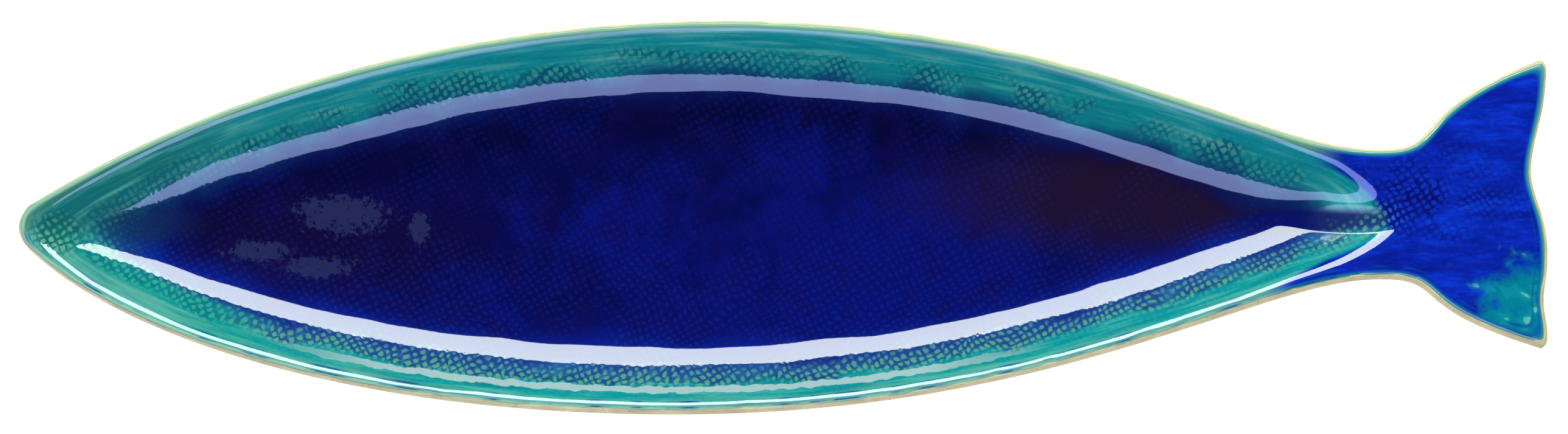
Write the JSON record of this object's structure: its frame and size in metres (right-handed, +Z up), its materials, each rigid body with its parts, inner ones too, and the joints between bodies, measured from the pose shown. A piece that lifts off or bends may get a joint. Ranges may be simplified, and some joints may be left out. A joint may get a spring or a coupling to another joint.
{
  "type": "fish shaped platter",
  "caption": "Long fish-shaped glazed stoneware platter: a shallow boat-shaped bowl that narrows to a flat forked tail, standing on an oval foot ring.",
  "frame": {"origin": "on the table, under the middle of the platter's bounding box", "axes": "+X from the nose to the tail, +Y across the fish, +Z up out of the bowl"},
  "size_m": [0.43, 0.1112, 0.0249],
  "materials": {
    "bare_stoneware": "bare buff stoneware, matt",
    "foot_stoneware": "bare buff stoneware, sponged smooth",
    "turquoise_glaze": "glossy turquoise reactive glaze over a woven texture",
    "cobalt_pool_glaze": "glossy deep cobalt glaze, pooled thick",
    "cobalt_brushed_glaze": "glossy brushed cobalt glaze"
  },
  "bodies": {
    "root": {"stoneware_body": "bare_stoneware", "foot_ring": "foot_stoneware", "turquoise_base_coat": "turquoise_glaze", "cobalt_well_pool": "cobalt_pool_glaze", "cobalt_tail_coat": "cobalt_brushed_glaze"}
  },
  "joints": []
}
